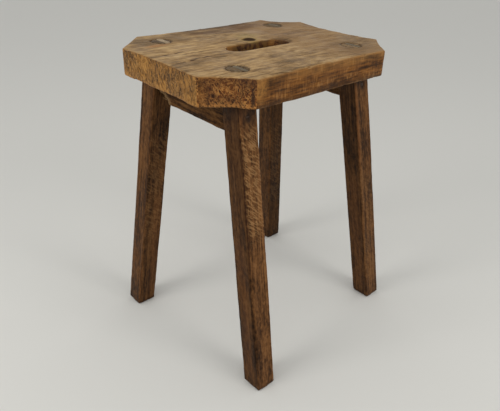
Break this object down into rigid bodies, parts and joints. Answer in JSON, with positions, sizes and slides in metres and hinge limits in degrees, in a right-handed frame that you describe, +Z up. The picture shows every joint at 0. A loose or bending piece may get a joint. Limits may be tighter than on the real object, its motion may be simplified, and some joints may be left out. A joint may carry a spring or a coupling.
{
  "type": "milking stool",
  "caption": "Low wooden stool: a thick slab seat with cut corners and a hand slot, on raking square legs wedged through the seat, with a rail under each end.",
  "frame": {"origin": "on the floor at the middle of the space the whole stool takes up, feet included; the middle of the seat is 3.5 mm to the left of it and 17 mm behind it, because the legs rake unevenly", "axes": "+Z up from the floor, +X to the right along the grain of the seat, +Y to the back across it"},
  "size_m": [0.343, 0.3084, 0.43],
  "materials": {
    "seat_wood": "worn, matt, waxed by use",
    "leg_wood": "dark, worn, low sheen",
    "wedge_wood": "pale end grain, worn flush",
    "rail_wood": "dark, weathered, rough",
    "nail_iron": "dark rust"
  },
  "bodies": {
    "root": {"seat_board": "seat_wood", "leg_front_left": "leg_wood", "leg_back_left": "leg_wood", "leg_front_right": "leg_wood", "leg_back_right": "leg_wood", "wedge_front_left": "wedge_wood", "wedge_back_left": "wedge_wood", "wedge_front_right": "wedge_wood", "wedge_back_right": "wedge_wood", "rail_left": "rail_wood", "rail_right": "rail_wood", "rail_nails": "nail_iron"}
  },
  "joints": []
}
